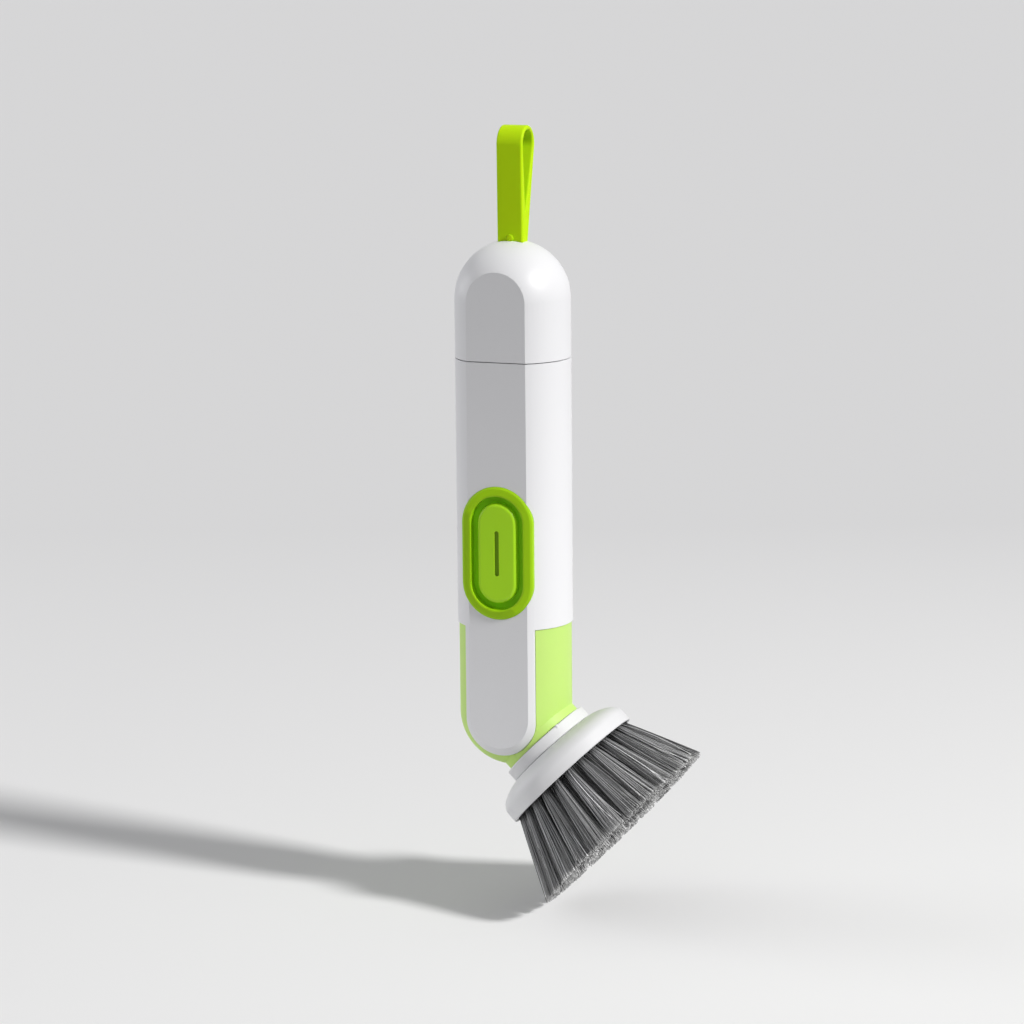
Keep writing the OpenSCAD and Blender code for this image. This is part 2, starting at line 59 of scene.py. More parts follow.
class Body(Enum):
    """Bodies that a piece can ride on."""

    HANDLE = "handle"
    CAP = "cap_body"
    BUTTON = "button"
    HEAD = "brush_head"


class Slot(Enum):
    """Material slots of the record."""

    WHITE = "white_plastic"
    STRAP = "green_silicone"
    BUTTON = "green_button"
    SHELL = "light_green_plastic"
    BRISTLE = "grey_bristle"
    CLEAR = "clear_silicone"
    RUBBER = "black_rubber"
    STEEL = "spring_steel"
    BRASS = "brass_wire"


# Mesh tools


def pick_only(obj: bpy.types.Object) -> None:
    """Deselects everything, and then selects one object and makes it active.

    Args:
        obj: The object that the next operators act on.
    """
    if bpy.context.object and bpy.context.object.mode != "OBJECT":
        bpy.ops.object.mode_set(mode="OBJECT")
    bpy.ops.object.select_all(action="DESELECT")
    obj.select_set(True)
    bpy.context.view_layer.objects.active = obj


def apply_all_modifiers(obj: bpy.types.Object) -> None:
    """Applies every modifier of an object in order.

    Args:
        obj: The object that has the modifiers.
    """
    pick_only(obj)
    for modifier in list(obj.modifiers):
        bpy.ops.object.modifier_apply(modifier=modifier.name)


def settle_at_origin(obj: bpy.types.Object) -> None:
    """Moves an object's place, turn and scale into its mesh.

    Args:
        obj: The object to settle.
    """
    pick_only(obj)
    bpy.ops.object.transform_apply(location=True, rotation=True, scale=True)


def finish_piece(obj: bpy.types.Object, body: Body, slot: Slot, *nodes: str) -> bpy.types.Object:
    """Makes a piece ride on its body and take the place of CAD nodes.

    Args:
        obj: The finished piece.
        body: The body that carries it.
        slot: The record's slot that its finish comes from. Not used.
        *nodes: CAD nodes that the piece stands for.

    Returns:
        The same piece.
    """
    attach(obj, body.value)
    if nodes:
        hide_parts(*nodes)
    LOG.info("%s: %d faces on %s", obj.name, len(obj.data.polygons), body.value)
    return obj


@dataclass(frozen=True)
class SoftEdge:
    """Rounding that a mould leaves on the edges of a piece.

    Attributes:
        width: Width of the rounded edge in millimetres.
        segments: Number of facets across it.
        sharper_than: Only edges sharper than this angle in degrees are rounded.
    """

    width: float
    segments: int = 2
    sharper_than: float = 38.0

    @staticmethod
    def plain_copy(node: str, name: str) -> bpy.types.Object:
        """Copies a CAD node and merges its triangles.

        Args:
            node: The CAD node to copy.
            name: Name of the new piece.

        Returns:
            The new piece, with its edges still sharp.
        """
        obj = bpy.data.objects.new(name, bpy.data.objects[node].data.copy())
        bpy.context.scene.collection.objects.link(obj)
        obj.data.materials.clear()
        pick_only(obj)
        if obj.data.has_custom_normals:
            bpy.ops.mesh.customdata_custom_splitnormals_clear()
        bpy.ops.object.mode_set(mode="EDIT")
        bpy.ops.mesh.select_all(action="SELECT")
        bpy.ops.mesh.remove_doubles(threshold=0.000002)
        bpy.ops.mesh.dissolve_limited(angle_limit=math.radians(0.4))
        bpy.ops.object.mode_set(mode="OBJECT")
        return obj

    def soften(self, obj: bpy.types.Object) -> None:
        """Rounds a piece's sharp edges and shades it smooth, with level flat faces.

        Args:
            obj: The piece.
        """
        bevel = obj.modifiers.new("soft_edge", "BEVEL")
        bevel.width = self.width * MM
        bevel.segments = self.segments
        bevel.limit_method = "ANGLE"
        bevel.angle_limit = math.radians(self.sharper_than)
        bevel.miter_outer = "MITER_ARC"
        apply_all_modifiers(obj)
        self.shade(obj)

    @staticmethod
    def shade(obj: bpy.types.Object) -> None:
        """Shades a piece smooth, with level flat faces.

        Args:
            obj: The piece.
        """
        bpy.ops.object.shade_smooth_by_angle(angle=math.radians(32))
        level = obj.modifiers.new("level_flats", "WEIGHTED_NORMAL")
        level.keep_sharp = True
        apply_all_modifiers(obj)

    def copy_of(self, node: str, name: str) -> bpy.types.Object:
        """Copies a CAD node, merges its triangles and rounds its edges.

        Args:
            node: The CAD node to copy.
            name: Name of the new piece.

        Returns:
            The new piece, smooth shaded.
        """
        obj = self.plain_copy(node, name)
        self.soften(obj)
        return obj


# Shared shader groups


class ShaderGroup:
    """A node group that more than one material places."""

    def __init__(self, name: str, inputs: dict[str, Any], outputs: dict[str, str]) -> None:
        """Makes the empty group.

        Args:
            name: Name of the group.
            inputs: Socket names with their default values.
            outputs: Socket names with their socket types.
        """
        self.tree = bpy.data.node_groups.new(name, "ShaderNodeTree")
        for label, value in inputs.items():
            kind = "NodeSocketFloat" if isinstance(value, float) else "NodeSocketColor"
            socket = self.tree.interface.new_socket(label, in_out="INPUT", socket_type=kind)
            socket.default_value = value
        for label, kind in outputs.items():
            self.tree.interface.new_socket(label, in_out="OUTPUT", socket_type=kind)
        self.start = self.tree.nodes.new("NodeGroupInput")
        self.end = self.tree.nodes.new("NodeGroupOutput")

    def node(self, kind: str, **settings: Any) -> bpy.types.Node:
        """Adds a node to the group.

        Args:
            kind: Blender's name of the node type.
            **settings: Values for the node's properties.

        Returns:
            The new node.
        """
        made = self.tree.nodes.new(kind)
        for key, value in settings.items():
            setattr(made, key, value)
        return made

    def link(self, source: Any, target: Any) -> None:
        """Joins two sockets."""
        self.tree.links.new(source, target)

    def noise(self, scale: Any, detail: float = 3.0, stretch: tuple = (1, 1, 1)) -> Any:
        """Adds noise that is fixed to the piece.

        Args:
            scale: A number, or the socket that gives it.
            detail: Octaves of the noise.
            stretch: Scale of the pattern along each axis.

        Returns:
            The noise's value socket.
        """
        place = self.node("ShaderNodeTexCoord")
        mapping = self.node("ShaderNodeMapping")
        mapping.inputs["Scale"].default_value = stretch
        noise = self.node("ShaderNodeTexNoise")
        noise.inputs["Detail"].default_value = detail
        self.link(place.outputs["Object"], mapping.inputs["Vector"])
        self.link(mapping.outputs["Vector"], noise.inputs["Vector"])
        if isinstance(scale, (int, float)):
            noise.inputs["Scale"].default_value = scale
        else:
            self.link(scale, noise.inputs["Scale"])
        return noise.outputs["Fac"]

    def math(self, operation: str, first: Any, second: Any) -> Any:
        """Adds a math node.

        Args:
            operation: Blender's name of the operation.
            first: A number or a socket.
            second: A number or a socket.

        Returns:
            The result's socket.
        """
        made = self.node("ShaderNodeMath", operation=operation)
        for socket, value in zip(made.inputs, (first, second)):
            if isinstance(value, (int, float)):
                socket.default_value = value
            else:
                self.link(value, socket)
        return made.outputs[0]

    def spread(self, value: Any, low: float, high: float, to_low: Any, to_high: Any) -> Any:
        """Adds a map range node.

        Args:
            value: The socket to map.
            low: Value that maps to to_low.
            high: Value that maps to to_high.
            to_low: A number or a socket.
            to_high: A number or a socket.

        Returns:
            The mapped socket.
        """
        made = self.node("ShaderNodeMapRange")
        self.link(value, made.inputs["Value"])
        made.inputs["From Min"].default_value = low
        made.inputs["From Max"].default_value = high
        for label, target in (("To Min", to_low), ("To Max", to_high)):
            if isinstance(target, (int, float)):
                made.inputs[label].default_value = target
            else:
                self.link(target, made.inputs[label])
        return made.outputs["Result"]


class SharedEffects:
    """Groups for the marks that all the finishes share."""

    def __init__(self) -> None:
        """Builds the three groups once."""
        self.grain = self._grain()
        self.tone = self._tone()
        self.marks = self._marks()

    @staticmethod
    def _grain() -> bpy.types.NodeTree:
        """Builds the height of the mould's fine grain, with slow waves of shrinkage under it."""
        group = ShaderGroup("mould_grain", {"Scale": 3000.0, "Waves": 0.3}, {"Height": "NodeSocketFloat"})
        fine = group.noise(group.start.outputs["Scale"], 2.0)
        slow = group.math("MULTIPLY", group.noise(70.0, 1.0), group.start.outputs["Waves"])
        group.link(group.math("ADD", fine, slow), group.end.inputs["Height"])
        return group.tree

    @staticmethod
    def _tone() -> bpy.types.NodeTree:
        """Builds a colour that drifts a little over the piece and is speckled by dust."""
        white = (1.0, 1.0, 1.0, 1.0)
        group = ShaderGroup(
            "tone_drift", {"Colour": white, "Drift": 0.04, "Dust": 0.02}, {"Colour": "NodeSocketColor"}
        )
        drift = group.math("SUBTRACT", group.noise(38.0, 4.0), 0.5)
        drift = group.math("MULTIPLY", drift, group.start.outputs["Drift"])
        specks = group.spread(group.noise(1500.0, 1.0), 0.68, 0.78, 0.0, 1.0)
        specks = group.math("MULTIPLY", specks, group.start.outputs["Dust"])
        value = group.math("SUBTRACT", group.math("ADD", 1.0, drift), specks)
        turn = group.node("ShaderNodeHueSaturation")
        group.link(group.start.outputs["Colour"], turn.inputs["Color"])
        group.link(value, turn.inputs["Value"])
        group.link(turn.outputs["Color"], group.end.inputs["Colour"])
        return group.tree

    @staticmethod
    def _marks() -> bpy.types.NodeTree:
        """Builds a roughness with faint wiped streaks and patches from handling."""
        group = ShaderGroup(
            "handling_marks", {"Roughness": 0.4, "Streaks": 0.05}, {"Roughness": "NodeSocketFloat"}
        )
        streaks = group.noise(420.0, 2.0, (1.0, 1.0, 0.08))
        streaks = group.spread(streaks, 0.45, 0.75, 0.0, group.start.outputs["Streaks"])
        patches = group.spread(group.noise(55.0, 3.0), 0.35, 0.7, 0.0, group.start.outputs["Streaks"])
        total = group.math("ADD", group.start.outputs["Roughness"], group.math("ADD", streaks, patches))
        group.link(total, group.end.inputs["Roughness"])
        return group.tree


# Finishes


@dataclass(frozen=True)
class MouldedFinish:
    """A moulded plastic, silicone or rubber.

    Attributes:
        name: Name of the material.
        colour: Linear base colour.
        roughness: Roughness of the clean surface.
        grain: Scale of the fine grain, per metre.
        depth: Depth of the grain in millimetres.
        drift: How far the colour drifts over the piece.
        streaks: How much handling dulls the surface.
        glow: Subsurface weight.
        bleed: Depth that light travels in millimetres, for each colour.
        metal: Metallic value.
        ior: Index of refraction, lower for dull silicone.
    """

    name: str
    colour: Colour
    roughness: float = 0.4
    grain: float = 3000.0
    depth: float = 0.004
    drift: float = 0.05
    streaks: float = 0.06
    glow: float = 0.0
    bleed: Colour = (1.0, 1.0, 1.0)
    metal: float = 0.0
    ior: float = 1.46

    def make(self, effects: SharedEffects) -> bpy.types.Material:
        """Builds the material.

        Args:
            effects: The shared shader groups.

        Returns:
            The new material.
        """
        material = bpy.data.materials.new(self.name)
        material.use_nodes = True
        nodes, links = material.node_tree.nodes, material.node_tree.links
        shader = nodes["Principled BSDF"]
        shader.inputs["Metallic"].default_value = self.metal
        shader.inputs["IOR"].default_value = self.ior
        if self.glow:
            shader.inputs["Subsurface Weight"].default_value = self.glow
            shader.inputs["Subsurface Radius"].default_value = self.bleed
            shader.inputs["Subsurface Scale"].default_value = MM
        tone = nodes.new("ShaderNodeGroup")
        tone.node_tree = effects.tone
        tone.inputs["Colour"].default_value = (*self.colour, 1.0)
        tone.inputs["Drift"].default_value = self.drift
        marks = nodes.new("ShaderNodeGroup")
        marks.node_tree = effects.marks
        marks.inputs["Roughness"].default_value = self.roughness
        marks.inputs["Streaks"].default_value = self.streaks
        grain = nodes.new("ShaderNodeGroup")
        grain.node_tree = effects.grain
        grain.inputs["Scale"].default_value = self.grain
        bump = nodes.new("ShaderNodeBump")
        bump.inputs["Distance"].default_value = self.depth * MM
        links.new(tone.outputs["Colour"], shader.inputs["Base Color"])
        links.new(marks.outputs["Roughness"], shader.inputs["Roughness"])
        links.new(grain.outputs["Height"], bump.inputs["Height"])
        links.new(bump.outputs["Normal"], shader.inputs["Normal"])
        return material


@dataclass(frozen=True)
class FilamentFinish:
    """Grey nylon filaments, with painted shade that darkens them towards the roots between the tufts and
    painted light that makes their cut tips pale.

    Attributes:
        name: Name of the material.
        root: Linear colour at the root, dark as painted shade.
        lower: Linear colour just out of the hole.
        middle: Linear colour halfway.
        upper: Linear colour near the tip.
        tip: Linear colour at the cut tip, pale as painted light.
    """

    name: str
    root: Colour
    lower: Colour
    middle: Colour
    upper: Colour
    tip: Colour

    def make(self) -> bpy.types.Material:
        """Builds the material from the filaments' own attributes.

        Returns:
            The new material.
        """
        material = bpy.data.materials.new(self.name)
        material.use_nodes = True
        nodes, links = material.node_tree.nodes, material.node_tree.links
        shader = nodes["Principled BSDF"]
        shader.inputs["Roughness"].default_value = 0.42
        shader.inputs["IOR"].default_value = 1.53
        along = nodes.new("ShaderNodeAttribute")
        along.attribute_name = "along"
        shade = nodes.new("ShaderNodeAttribute")
        shade.attribute_name = "shade"
        ramp = nodes.new("ShaderNodeValToRGB")
        steps = ramp.color_ramp.elements
        steps[0].color, steps[1].color = (*self.root, 1.0), (*self.tip, 1.0)
        for place, colour in ((0.22, self.lower), (0.55, self.middle), (0.95, self.upper)):
            step = steps.new(place)
            step.color = (*colour, 1.0)
        turn = nodes.new("ShaderNodeHueSaturation")
        links.new(along.outputs["Fac"], ramp.inputs["Fac"])
        links.new(ramp.outputs["Color"], turn.inputs["Color"])
        links.new(shade.outputs["Fac"], turn.inputs["Value"])
        links.new(turn.outputs["Color"], shader.inputs["Base Color"])
        place = nodes.new("ShaderNodeTexCoord")
        noise = nodes.new("ShaderNodeTexNoise")
        noise.inputs["Scale"].default_value = 2600.0
        bump = nodes.new("ShaderNodeBump")
        bump.inputs["Distance"].default_value = 0.02 * MM
        links.new(place.outputs["Object"], noise.inputs["Vector"])
        links.new(noise.outputs["Fac"], bump.inputs["Height"])
        links.new(bump.outputs["Normal"], shader.inputs["Normal"])
        return material


class Finishes:
    """All the finishes of the wand."""

    def __init__(self) -> None:
        """Builds each material once."""
        effects = SharedEffects()
        self.white = MouldedFinish(
            "satin_white_plastic", (0.80, 0.80, 0.82), 0.36, depth=0.003, drift=0.03
        ).make(effects)
        # The plate is the handle's white plastic, set darker as painted shade where it faces the side light
        # more fully; its coarser grain and rougher surface are its own.
        self.head_white = MouldedFinish(
            "head_white_plastic", (0.725, 0.725, 0.74), 0.45, grain=1800.0, depth=0.012, drift=0.05
        ).make(effects)
        self.strap = MouldedFinish(
            "lime_silicone",
            (0.55, 0.83, 0.002),
            0.6,
            depth=0.006,
            drift=0.05,
            glow=0.2,
            bleed=(0.8, 1.2, 0.1),
            ior=1.25,
        ).make(effects)
        self.button = MouldedFinish(
            "button_green_rubber",
            (0.365, 0.66, 0.003),
            0.5,
            depth=0.006,
            drift=0.06,
            glow=0.1,
            bleed=(0.5, 0.9, 0.1),
            ior=1.32,
        ).make(effects)
        # The pad and the ring are one rubber; the pad's lighter colour is painted light, while its smoother,
        # glossier surface is its own.
        self.pad = MouldedFinish(
            "pad_green_rubber",
            (0.43, 0.80, 0.010),
            0.32,
            depth=0.005,
            drift=0.08,
            glow=0.1,
            bleed=(0.5, 0.9, 0.1),
            ior=1.42,
        ).make(effects)
        # Darker green for the mark sunk into the pad: painted shade in the recess.
        self.mark = MouldedFinish(
            "mark_shade_green_rubber", (0.19, 0.36, 0.004), 0.6, depth=0.01, drift=0.06, ior=1.35
        ).make(effects)
        # The membrane in the groove is the button's rubber set lighter: painted light that lifts the shade in
        # the groove.
        self.groove = MouldedFinish(
            "groove_green_rubber", (0.38, 0.85, 0.004), 0.6, depth=0.006, drift=0.06, ior=1.35
        ).make(effects)
        self.shell = MouldedFinish(
            "light_green_plastic", (0.53, 0.775, 0.18), 0.45, depth=0.003, drift=0.03,
            glow=0.15, bleed=(1.2, 1.8, 0.6), ior=1.54
        ).make(effects)
        self.clear = MouldedFinish(
            "milky_silicone", (0.78, 0.8, 0.8), 0.35, depth=0.004, glow=0.4, bleed=(1.5, 1.5, 1.5)
        ).make(effects)
        self.rubber = MouldedFinish("black_rubber", (0.03, 0.03, 0.03), 0.6, depth=0.01).make(effects)
        self.steel = MouldedFinish(
            "drawn_wire", (0.62, 0.62, 0.63), 0.28, grain=5000.0, depth=0.004, metal=1.0
        ).make(effects)
        self.brass = MouldedFinish(
            "anchor_wire", (0.75, 0.55, 0.25), 0.35, grain=4000.0, depth=0.004, metal=1.0
        ).make(effects)
        # Dark roots are painted shade between the tufts; pale tips are painted light.
        self.bristle = FilamentFinish(
            "grey_nylon",
            (0.03, 0.03, 0.031),
            (0.25, 0.25, 0.256),
            (0.31, 0.31, 0.316),
            (0.32, 0.32, 0.323),
            (0.43, 0.43, 0.43),
        ).make()


def dress(obj: bpy.types.Object, material: bpy.types.Material) -> None:
    """Gives a whole piece one material.

    Args:
        obj: The piece.
        material: Its finish.
    """
    obj.data.materials.clear()
    obj.data.materials.append(material)
    obj.data.polygons.foreach_set("material_index", np.zeros(len(obj.data.polygons), np.int32))


# Sub-assemblies


@dataclass
class HandleShells:
    """The white handle, its cap and the green lower shell.

    Attributes:
        lip: Rounding at the parting lines in millimetres.
    """

    lip: float = 0.22

    def build(self, finishes: Finishes) -> None:
        """Builds the three shells with soft edges.

        Args:
            finishes: The wand's finishes.
        """
        edge = SoftEdge(self.lip)
        for node, body, slot, finish in (
            ("body_shell", Body.HANDLE, Slot.WHITE, finishes.white),
            ("cap", Body.CAP, Slot.WHITE, finishes.white),
            ("lower_shell", Body.HANDLE, Slot.SHELL, finishes.shell),
        ):
            piece = edge.copy_of(node, node + "_skin")
            dress(piece, finish)
            finish_piece(piece, body, slot, node)


@dataclass
class HangingLoop:
    """The silicone strap on top of the cap, in its side view: Y to the back and Z up.

    Attributes:
        root: Place of the dome's top in millimetres.
        width: Width of the strap.
        crown: Centre of the crown.
        crown_r: Outer radius of the crown.
        hole_r: Radius of the hole's round top.
        front: Depth of the front leg at the dome.
        back: Depth of the back leg at the dome.
        join: Point at which the legs part.
        sunk: How far the legs run down into the dome.
        rounding: Rounding of the strap's long edges.
        nub_r: Radius of the nub in front of it.
    """

    root: tuple[float, float, float] = (-21.1384, 0.0, 215.6044)
    width: float = 8.7
    crown: tuple[float, float] = (3.6, 29.94)
    crown_r: float = 5.95
    hole_r: float = 4.45
    front: float = -2.0
    back: float = 2.6
    join: tuple[float, float] = (0.9, 8.5)
    sunk: float = 1.5
    rounding: float = 0.7
    nub_r: float = 1.15

    @staticmethod
    def _tangent(start: tuple[float, float], centre: tuple[float, float], radius: float, side: int) -> float:
        """Finds where a line from a point touches a circle.

        Args:
            start: The point.
            centre: Centre of the circle.
            radius: Radius of the circle.
            side: 1 for the back of the circle, -1 for its front.

        Returns:
            Angle of the touching point round the circle.
        """
        away = (start[0] - centre[0], start[1] - centre[1])
        return math.atan2(away[1], away[0]) + side * math.acos(radius / math.hypot(*away))

    def _slab(
        self, name: str, feet: list[tuple[float, float]], radius: float, width: float
    ) -> bpy.types.Object:
        """Models a drop-shaped slab: a round top over one or two feet.

        Args:
            name: Name of the slab.
            feet: The feet, from front to back.
            radius: Radius of the round top.
            width: Width of the slab.

        Returns:
            The slab.
        """
        steps = 40
        start = self._tangent(feet[-1], self.crown, radius, 1)
        end = self._tangent(feet[0], self.crown, radius, -1) + 2 * math.pi
        arc = [start + (end - start) * i / steps for i in range(steps + 1)]
        outline = [(self.crown[0] + radius * math.cos(t), self.crown[1] + radius * math.sin(t)) for t in arc]
        outline += feet
        bpy.ops.object.select_all(action="DESELECT")
        bpy.ops.mesh.primitive_circle_add(vertices=len(outline), radius=1, fill_type="NGON")
        slab = bpy.context.object
        slab.name = name
        for vertex, (y, z) in zip(slab.data.vertices, outline):
            vertex.co = ((self.root[0] - width / 2) * MM, (self.root[1] + y) * MM, (self.root[2] + z) * MM)
        bpy.ops.object.mode_set(mode="EDIT")
        bpy.ops.mesh.select_all(action="SELECT")
        bpy.ops.mesh.extrude_region_move(TRANSFORM_OT_translate={"value": (width * MM, 0, 0)})
        bpy.ops.mesh.select_all(action="SELECT")
        bpy.ops.mesh.normals_make_consistent(inside=False)
        bpy.ops.object.mode_set(mode="OBJECT")
        settle_at_origin(slab)
        return slab

    def _nub(self) -> bpy.types.Object:
        """Models the half-round nub in front of the strap."""
        x, y, z = self.root
        place = (x * MM, (y + self.front - 0.1) * MM, (z + 0.7) * MM)
        bpy.ops.object.select_all(action="DESELECT")
        bpy.ops.mesh.primitive_cylinder_add(
            vertices=32, radius=self.nub_r * MM, depth=1.9 * MM, location=place, rotation=(math.pi / 2, 0, 0)
        )
        nub = bpy.context.object
        settle_at_origin(nub)
        bpy.ops.object.mode_set(mode="EDIT")
        bpy.ops.mesh.select_all(action="SELECT")
        bpy.ops.mesh.bevel(offset=0.4 * MM, segments=3, affect="EDGES")
        bpy.ops.object.mode_set(mode="OBJECT")
        return nub

    def build(self, finishes: Finishes) -> None:
        """Builds the strap as a rounded drop with a hole, and adds its nub.

        Args:
            finishes: The wand's finishes.
        """
        feet = [(self.front, -self.sunk), (self.back, -self.sunk)]
        strap = self._slab("strap_skin", feet, self.crown_r, self.width)
        hole = self._slab("strap_hole", [self.join], self.hole_r, self.width + 2)
        cut = strap.modifiers.new("cut", "BOOLEAN")
        cut.operation = "DIFFERENCE"
        cut.solver = "EXACT"
        cut.object = hole
        apply_all_modifiers(strap)
        bpy.data.objects.remove(hole)
        SoftEdge(self.rounding, 4, 30.0).soften(strap)
        nub = self._nub()
        pick_only(strap)
        nub.select_set(True)
        bpy.ops.object.join()
        bpy.ops.object.shade_smooth_by_angle(angle=math.radians(32))
        dress(strap, finishes.strap)
        finish_piece(strap, Body.CAP, Slot.STRAP, "strap_loop")


@dataclass
class PumpButton:
    """The ring and the pad on the flat front.

    Attributes:
        ring_edge: Rounding of the ring in millimetres.
        fall: How far the ring's face falls to its outer wall, in millimetres.
        lip: Depth of the bevel inside the ring in millimetres.
        pad_edge: Rounding of the pad's edges in millimetres.
        mark_w: Width of the mark sunk into the pad in millimetres.
        mark_l: Length of the mark in millimetres.
        loops: Widths of the loops added to the ring's face, from the outside, in millimetres.
        outer_strip: Width along the outer wall that gets no loops, in millimetres.
        slope_w: Width over which the ring's face falls, in millimetres.
        slope_power: How much of the fall lies close to the outer wall.
        face_w: Width of the ring's face, up to the bevel inside it, in millimetres.
        face_depth: Depth that counts as the ring's face, in millimetres.
        bevel_depths: Depths between which the bevel's inner edge lies, in millimetres.
    """

    ring_edge: float = 0.12
    fall: float = 0.8
    lip: float = 0.1
    pad_edge: float = 0.08
    mark_w: float = 1.4
    mark_l: float = 14.5
    loops: tuple[float, float] = (0.45, 0.3)
    outer_strip: float = 0.9
    slope_w: float = 2.3
    slope_power: float = 2.2
    face_w: float = 2.9
    face_depth: float = 0.85
    bevel_depths: tuple[float, float] = (0.3, 0.8)

    def _in_mark(self, pad: bpy.types.Object, point: Vector) -> bool:
        """Tells whether a point of the pad belongs to its mark.

        Args:
            pad: The pad.
            point: The point.

        Returns:
            True inside the mark's outline.
        """
        low, high = Vector(pad.bound_box[0]), Vector(pad.bound_box[6])
        middle = (low + high) / 2
        near_x = abs(point.x - middle.x) <= self.mark_w / 2 * MM + 1e-5
        return near_x and abs(point.z - middle.z) <= self.mark_l / 2 * MM + 1e-5

    def _crown_ring(self, ring: bpy.types.Object) -> None:
        """Adds loops to the ring's flat face and lets it fall away to the outside.

        Args:
            ring: The ring, before its edges are rounded.
        """
        pick_only(ring)
        low, high = Vector(ring.bound_box[0]), Vector(ring.bound_box[6])
        for width in self.loops:
            for face in ring.data.polygons:
                flat = face.normal.y < -0.999 and abs(face.center.y - low.y) < 0.01 * MM
                face.select = flat and self._from_rim(face.center, low, high) > self.outer_strip
            bpy.ops.object.mode_set(mode="EDIT")
            bpy.ops.mesh.select_mode(type="FACE")
            bpy.ops.mesh.inset(thickness=width * MM, use_boundary=True)
            bpy.ops.mesh.select_mode(type="VERT")
            bpy.ops.object.mode_set(mode="OBJECT")
        for vertex in ring.data.vertices:
            away = self._from_rim(vertex.co, low, high)
            depth = (vertex.co.y - low.y) / MM
            if away > self.face_w + 0.05 and self.bevel_depths[0] < depth < self.bevel_depths[1]:
                vertex.co.y = low.y + self.lip * MM
            if depth < self.face_depth and away < self.face_w:
                share = max(0.0, 1.0 - away / self.slope_w) ** self.slope_power
                vertex.co.y = low.y + self.fall * share * MM

    @staticmethod
    def _from_rim(point: Vector, low: Vector, high: Vector) -> float:
        """Measures how far a point of the ring lies inside its outer wall, in millimetres.

        Args:
            point: The point.
            low: Low corner of the ring's box.
            high: High corner of the ring's box.

        Returns:
            The distance.
        """
        middle = (low + high) / 2
        radius = (high.x - low.x) / 2
        straight = (high.z - low.z) / 2 - radius
        past = max(abs(point.z - middle.z) - straight, 0.0)
        return (radius - math.hypot(point.x - middle.x, past)) / MM

    def _paint_mark_shade(self, pad: bpy.types.Object, finishes: Finishes) -> None:
        """Gives the faces of the mark sunk into the pad a darker green, as painted shade in the recess.

        Args:
            pad: The pad.
            finishes: The wand's finishes.
        """
        # The sunk mark's faces get the darker green: painted shade.
        pad.data.materials.append(finishes.mark)
        front = Vector(pad.bound_box[0]).y
        for face in pad.data.polygons:
            depth = face.center.y - front
            if self._in_mark(pad, face.center) and 0.02 * MM < depth < 1.0 * MM:
                face.material_index = 1

    def build(self, finishes: Finishes) -> None:
        """Builds the ring and the pad with soft edges.

        Args:
            finishes: The wand's finishes.
        """
        lip = SoftEdge(self.ring_edge, 2)
        ring = lip.plain_copy("button_bezel", "button_ring")
        self._crown_ring(ring)
        lip.soften(ring)
        dress(ring, finishes.button)
        finish_piece(ring, Body.HANDLE, Slot.BUTTON, "button_bezel")
        pad = SoftEdge(self.pad_edge).copy_of("button_pad", "button_pad_skin")
        dress(pad, finishes.pad)
        self._paint_mark_shade(pad, finishes)
        finish_piece(pad, Body.BUTTON, Slot.BUTTON, "button_pad")


